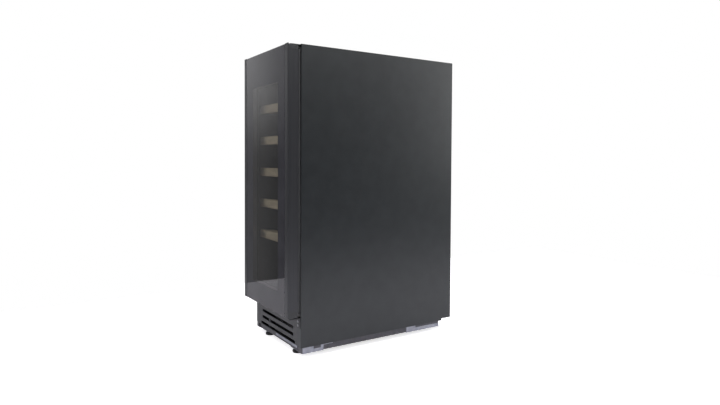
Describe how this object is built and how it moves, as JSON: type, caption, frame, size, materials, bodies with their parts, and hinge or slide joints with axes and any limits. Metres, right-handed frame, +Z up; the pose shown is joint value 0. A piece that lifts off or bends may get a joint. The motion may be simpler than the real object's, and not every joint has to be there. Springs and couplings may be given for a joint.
{
  "type": "wine cooler",
  "caption": "Slim under-counter wine cooler with a black steel cabinet, a hinged tinted-glass door, pull-out wooden shelves and a slotted kick grille.",
  "frame": {"origin": "centre of the footprint on the floor, feet screwed fully in", "axes": "+Z up, the door faces -Y, +X to the right seen from the front"},
  "size_m": [0.295, 0.564, 0.826],
  "materials": {
    "skin_black": "satin",
    "rail_primer": "satin",
    "zinc_plate": "satin",
    "liner_plastic": "matte",
    "foam": "matte",
    "stile_aluminium": "satin",
    "cap_plastic": "satin",
    "frame_plastic": "matte",
    "tinted_glass": "gloss",
    "clear_glass": "gloss",
    "gasket_rubber": "matte",
    "spacer_aluminium": "satin",
    "beech": "satin",
    "guide_steel": "satin",
    "duct_plastic": "matte",
    "panel_plastic": "satin",
    "display_lens": "gloss",
    "lamp_lens": "satin",
    "button_plastic": "satin",
    "fin_aluminium": "satin",
    "copper": "satin",
    "compressor_black": "satin",
    "fan_plastic": "matte",
    "mount_rubber": "matte",
    "pan_plastic": "matte",
    "board_plastic": "matte",
    "grille_plastic": "satin",
    "foot_plastic": "matte",
    "hinge_steel": "satin",
    "screw_steel": "satin",
    "bush_nylon": "matte"
  },
  "bodies": {
    "cabinet": {"side_panel_left": "skin_black", "side_panel_right": "skin_black", "top_panel": "skin_black", "back_panel": "skin_black", "compressor_cover": "skin_black", "machine_deck": "skin_black", "inner_liner": "liner_plastic", "insulation": "foam", "base_rails": "rail_primer", "foot_brackets": "zinc_plate", "base_tray": "rail_primer", "kick_grille": "grille_plastic", "hinge_top_plate": "hinge_steel", "hinge_bottom_plate": "hinge_steel", "hinge_screws": "screw_steel", "shelf_guides": "guide_steel", "evaporator_fan_frame": "fan_plastic", "condenser_fan_frame": "fan_plastic", "duct_cover": "duct_plastic", "evaporator": "fin_aluminium", "condenser": "fin_aluminium", "compressor": "compressor_black", "compressor_mounts": "mount_rubber", "drain_pan": "pan_plastic", "drain_tube": "pan_plastic", "refrigerant_pipes": "copper", "power_board_box": "board_plastic", "cord_gland": "cap_plastic", "control_panel": "panel_plastic", "display_window": "display_lens", "light_lens": "lamp_lens"},
    "door": {"door_stile_left": "stile_aluminium", "door_stile_right": "stile_aluminium", "door_inner_frame": "frame_plastic", "door_glass_outer": "tinted_glass", "glazing_spacer": "spacer_aluminium", "door_glass_inner": "clear_glass", "door_gasket": "gasket_rubber", "door_top_cap": "cap_plastic", "door_bottom_cap": "cap_plastic", "hinge_bushes": "bush_nylon"},
    "shelf_1": {"shelf_1_front": "beech", "shelf_1_slats": "beech"},
    "shelf_2": {"shelf_2_front": "beech", "shelf_2_slats": "beech"},
    "shelf_3": {"shelf_3_front": "beech", "shelf_3_slats": "beech"},
    "shelf_4": {"shelf_4_front": "beech", "shelf_4_slats": "beech"},
    "shelf_5": {"shelf_5_front": "beech", "shelf_5_slats": "beech"},
    "foot_front_left": {"foot_front_left": "foot_plastic"},
    "foot_front_right": {"foot_front_right": "foot_plastic"},
    "foot_rear_left": {"foot_rear_left": "foot_plastic"},
    "foot_rear_right": {"foot_rear_right": "foot_plastic"},
    "button_power": {"button_power": "button_plastic"},
    "button_up": {"button_up": "button_plastic"},
    "button_down": {"button_down": "button_plastic"},
    "evaporator_fan": {"evaporator_fan_rotor": "fan_plastic"},
    "condenser_fan": {"condenser_fan_rotor": "fan_plastic"}
  },
  "joints": [
    {"name": "door_swing", "type": "hinge", "parent": "cabinet", "child": "door", "pos_m": [0.1355, -0.2655, 0.468], "axis": [0, 0, 1], "range_deg": [0, 110]},
    {"name": "shelf_1_slide", "type": "slide", "parent": "cabinet", "child": "shelf_1", "axis": [0, -1, 0], "range_m": [0, 0.008]},
    {"name": "shelf_2_slide", "type": "slide", "parent": "cabinet", "child": "shelf_2", "axis": [0, -1, 0], "range_m": [0, 0.008]},
    {"name": "shelf_3_slide", "type": "slide", "parent": "cabinet", "child": "shelf_3", "axis": [0, -1, 0], "range_m": [0, 0.008]},
    {"name": "shelf_4_slide", "type": "slide", "parent": "cabinet", "child": "shelf_4", "axis": [0, -1, 0], "range_m": [0, 0.008]},
    {"name": "shelf_5_slide", "type": "slide", "parent": "cabinet", "child": "shelf_5", "axis": [0, -1, 0], "range_m": [0, 0.008]},
    {"name": "foot_front_left_height", "type": "slide", "parent": "cabinet", "child": "foot_front_left", "axis": [0, 0, -1], "range_m": [0, 0.02]},
    {"name": "foot_front_right_height", "type": "slide", "parent": "cabinet", "child": "foot_front_right", "axis": [0, 0, -1], "range_m": [0, 0.02]},
    {"name": "foot_rear_left_height", "type": "slide", "parent": "cabinet", "child": "foot_rear_left", "axis": [0, 0, -1], "range_m": [0, 0.02]},
    {"name": "foot_rear_right_height", "type": "slide", "parent": "cabinet", "child": "foot_rear_right", "axis": [0, 0, -1], "range_m": [0, 0.02]},
    {"name": "button_power_press", "type": "slide", "parent": "cabinet", "child": "button_power", "axis": [0, 1, 0], "range_m": [0, 0.001], "stiffness_N_per_m": 900},
    {"name": "button_up_press", "type": "slide", "parent": "cabinet", "child": "button_up", "axis": [0, 1, 0], "range_m": [0, 0.001], "stiffness_N_per_m": 900},
    {"name": "button_down_press", "type": "slide", "parent": "cabinet", "child": "button_down", "axis": [0, 1, 0], "range_m": [0, 0.001], "stiffness_N_per_m": 900},
    {"name": "evaporator_fan_spin", "type": "hinge", "parent": "cabinet", "child": "evaporator_fan", "pos_m": [0, 0.21, 0.7], "axis": [0, 1, 0], "continuous": true},
    {"name": "condenser_fan_spin", "type": "hinge", "parent": "cabinet", "child": "condenser_fan", "pos_m": [0, -0.13, 0.0529], "axis": [0, 1, 0], "continuous": true}
  ]
}
